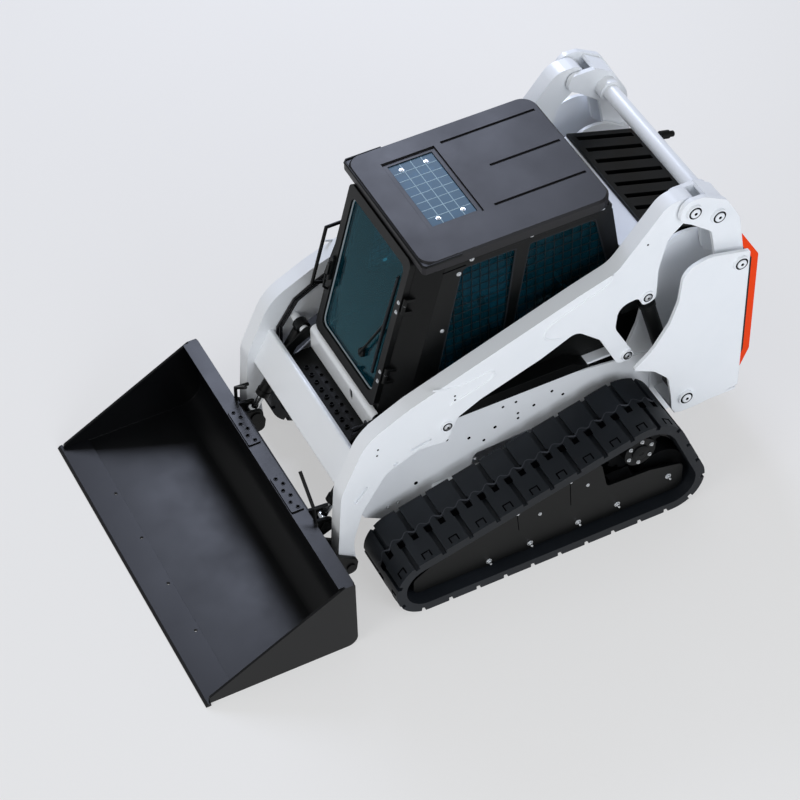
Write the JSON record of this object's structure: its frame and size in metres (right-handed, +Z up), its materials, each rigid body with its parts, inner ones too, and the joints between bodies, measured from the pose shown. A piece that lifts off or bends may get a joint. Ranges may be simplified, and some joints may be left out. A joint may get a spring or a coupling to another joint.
{
  "type": "compact track loader",
  "caption": "Compact track loader with a vertical-lift boom, smooth-edge bucket on a quick-attach plate, rubber tracks and an enclosed cab.",
  "frame": {"origin": "on the ground, below the middle of the machine's box", "axes": "+Z up, -Y forward to the bucket, +X to the operator's left hand side"},
  "size_m": [2.068, 3.61, 1.974],
  "materials": {
    "white_paint": "gloss",
    "black_paint": "satin",
    "roof_plastic": "grained",
    "track_rubber": "moulded",
    "steel": "bare",
    "rod_chrome": "polished",
    "tinted_glass": "tinted",
    "orange_paint": "gloss",
    "bucket_paint": "satin",
    "cast_iron": "raw",
    "seat_vinyl": "grained"
  },
  "bodies": {
    "chassis": {"main_frame": "white_paint", "upright_left": "white_paint", "upright_right": "white_paint", "rear_deck": "white_paint", "front_apron": "white_paint", "engine_cowl": "black_paint", "rear_cover": "black_paint", "cab_floor": "black_paint", "cab_ceiling": "black_paint", "cab_rear_wall": "black_paint", "cab_sides": "black_paint", "cab_front_rails": "black_paint", "cab_posts": "black_paint", "front_step": "black_paint", "side_screens": "black_paint", "track_frame_left": "black_paint", "track_frame_right": "black_paint", "grab_handle": "black_paint", "fender_rails": "black_paint", "seat_base": "black_paint", "engine_block": "cast_iron", "track_rollers": "cast_iron", "track_idlers": "cast_iron", "drive_sprockets": "cast_iron", "drive_housings": "cast_iron", "track_left": "track_rubber", "track_right": "track_rubber", "roof_panel": "roof_plastic", "roof_window": "tinted_glass", "rear_window": "tinted_glass", "seat": "seat_vinyl", "hose_couplers": "steel"},
    "rear_links": {"rear_link_left": "white_paint", "rear_link_right": "white_paint", "link_cross_tube": "white_paint"},
    "boom": {"boom_arm_left": "white_paint", "boom_arm_right": "white_paint", "boom_cross_member": "white_paint", "tilt_brackets": "black_paint", "boom_lines": "steel"},
    "lift_barrels": {"lift_barrel_left": "black_paint", "lift_barrel_right": "black_paint"},
    "lift_rods": {"lift_rod_left": "rod_chrome", "lift_rod_right": "rod_chrome"},
    "tilt_barrels": {"tilt_barrel_left": "black_paint", "tilt_barrel_right": "black_paint"},
    "tilt_rods": {"tilt_rod_left": "rod_chrome", "tilt_rod_right": "rod_chrome"},
    "bucket": {"attach_plate": "black_paint", "attach_levers": "black_paint", "bucket_shell": "bucket_paint", "bucket_steps": "bucket_paint", "cutting_edge": "steel"},
    "cab_door": {"cab_door": "black_paint", "door_glass": "tinted_glass"},
    "tailgate": {"tailgate": "black_paint", "tailgate_rim": "orange_paint"}
  },
  "joints": [
    {"name": "link_swing", "type": "hinge", "parent": "chassis", "child": "rear_links", "pos_m": [0, 1.525, 1.46], "axis": [-1, 0, 0], "range_deg": [0, 33]},
    {"name": "boom_lift", "type": "hinge", "parent": "rear_links", "child": "boom", "pos_m": [0, 1.25, 1.892], "axis": [-1, 0, 0], "range_deg": [0, 33]},
    {"name": "lift_barrel_swing", "type": "hinge", "parent": "chassis", "child": "lift_barrels", "pos_m": [0, 1.243, 0.572], "axis": [1, 0, 0], "range_deg": [-3.56, 0]},
    {"name": "lift_rod_slide", "type": "slide", "parent": "lift_barrels", "child": "lift_rods", "axis": [0, -0.271, 0.9626], "range_m": [0, 0.6161]},
    {"name": "bucket_tilt", "type": "hinge", "parent": "boom", "child": "bucket", "pos_m": [0, -0.773, 0.175], "axis": [1, 0, 0], "range_deg": [-14, 108]},
    {"name": "tilt_barrel_swing", "type": "hinge", "parent": "boom", "child": "tilt_barrels", "pos_m": [0, -0.501, 0.9], "axis": [1, 0, 0], "range_deg": [-0.056, 0.435]},
    {"name": "tilt_rod_slide", "type": "slide", "parent": "tilt_barrels", "child": "tilt_rods", "axis": [0, -0.537, -0.8436], "range_m": [-0.0473, 0.3649]},
    {"name": "door_swing", "type": "hinge", "parent": "chassis", "child": "cab_door", "pos_m": [0.364, -0.39352, 1.16463], "axis": [0, 0.2572, 0.9664], "range_deg": [0, 95]},
    {"name": "tailgate_swing", "type": "hinge", "parent": "chassis", "child": "tailgate", "pos_m": [0.514, 1.606, 0.9], "axis": [0, 0, -1], "range_deg": [0, 90]}
  ],
  "couplings": [
    {"joint": "link_swing", "follows": "boom_lift", "ratio": 1},
    {"joint": "lift_barrel_swing", "follows": "boom_lift", "ratio": -0.10584},
    {"joint": "lift_rod_slide", "follows": "boom_lift", "m_per_rad": 1.0592},
    {"joint": "tilt_barrel_swing", "follows": "bucket_tilt", "ratio": 0.003947},
    {"joint": "tilt_rod_slide", "follows": "bucket_tilt", "m_per_rad": 0.18978}
  ]
}
